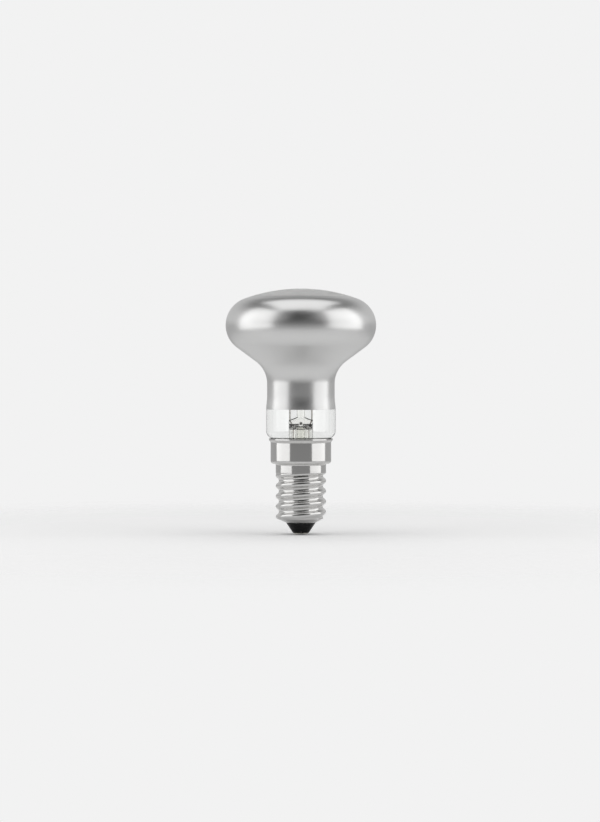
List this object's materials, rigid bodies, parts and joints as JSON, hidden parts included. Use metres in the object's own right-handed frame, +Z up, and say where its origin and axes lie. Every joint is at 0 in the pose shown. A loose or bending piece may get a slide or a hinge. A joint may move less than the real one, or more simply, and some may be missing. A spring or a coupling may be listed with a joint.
{
  "type": "reflector bulb",
  "caption": "Blown glass reflector lamp with a mirrored head and neck, a clear band above its wide collar, and a small right-hand screw cap ending in a centre contact.",
  "frame": {"origin": "middle of the centre contact's end face", "axes": "+Z up the lamp's axis from the cap to the mirrored head, front towards -Y, +X to the right of the front"},
  "size_m": [0.041, 0.041, 0.067],
  "materials": {
    "clear_glass": "clear",
    "mirror_film": "satin",
    "stem_glass": "clear",
    "cap_metal": "semi-gloss",
    "insulator_glass": "gloss",
    "contact_brass": "satin",
    "solder": "satin",
    "nickel_wire": "satin",
    "copper_wire": "satin",
    "tungsten": "satin",
    "cement": "matte"
  },
  "bodies": {
    "root": {"glass_envelope": "clear_glass", "mirror_coating": "mirror_film", "glass_stem": "stem_glass", "exhaust_tube": "stem_glass", "inner_lead_left": "nickel_wire", "inner_lead_right": "nickel_wire", "seal_wire_left": "copper_wire", "seal_wire_right": "copper_wire", "outer_lead_contact": "copper_wire", "outer_lead_side": "copper_wire", "filament": "tungsten", "filament_support_left": "tungsten", "filament_support_right": "tungsten", "cap_shell": "cap_metal", "cap_insulator": "insulator_glass", "contact_plate": "contact_brass", "contact_solder": "solder", "side_solder": "solder", "basing_cement": "cement"}
  },
  "joints": []
}
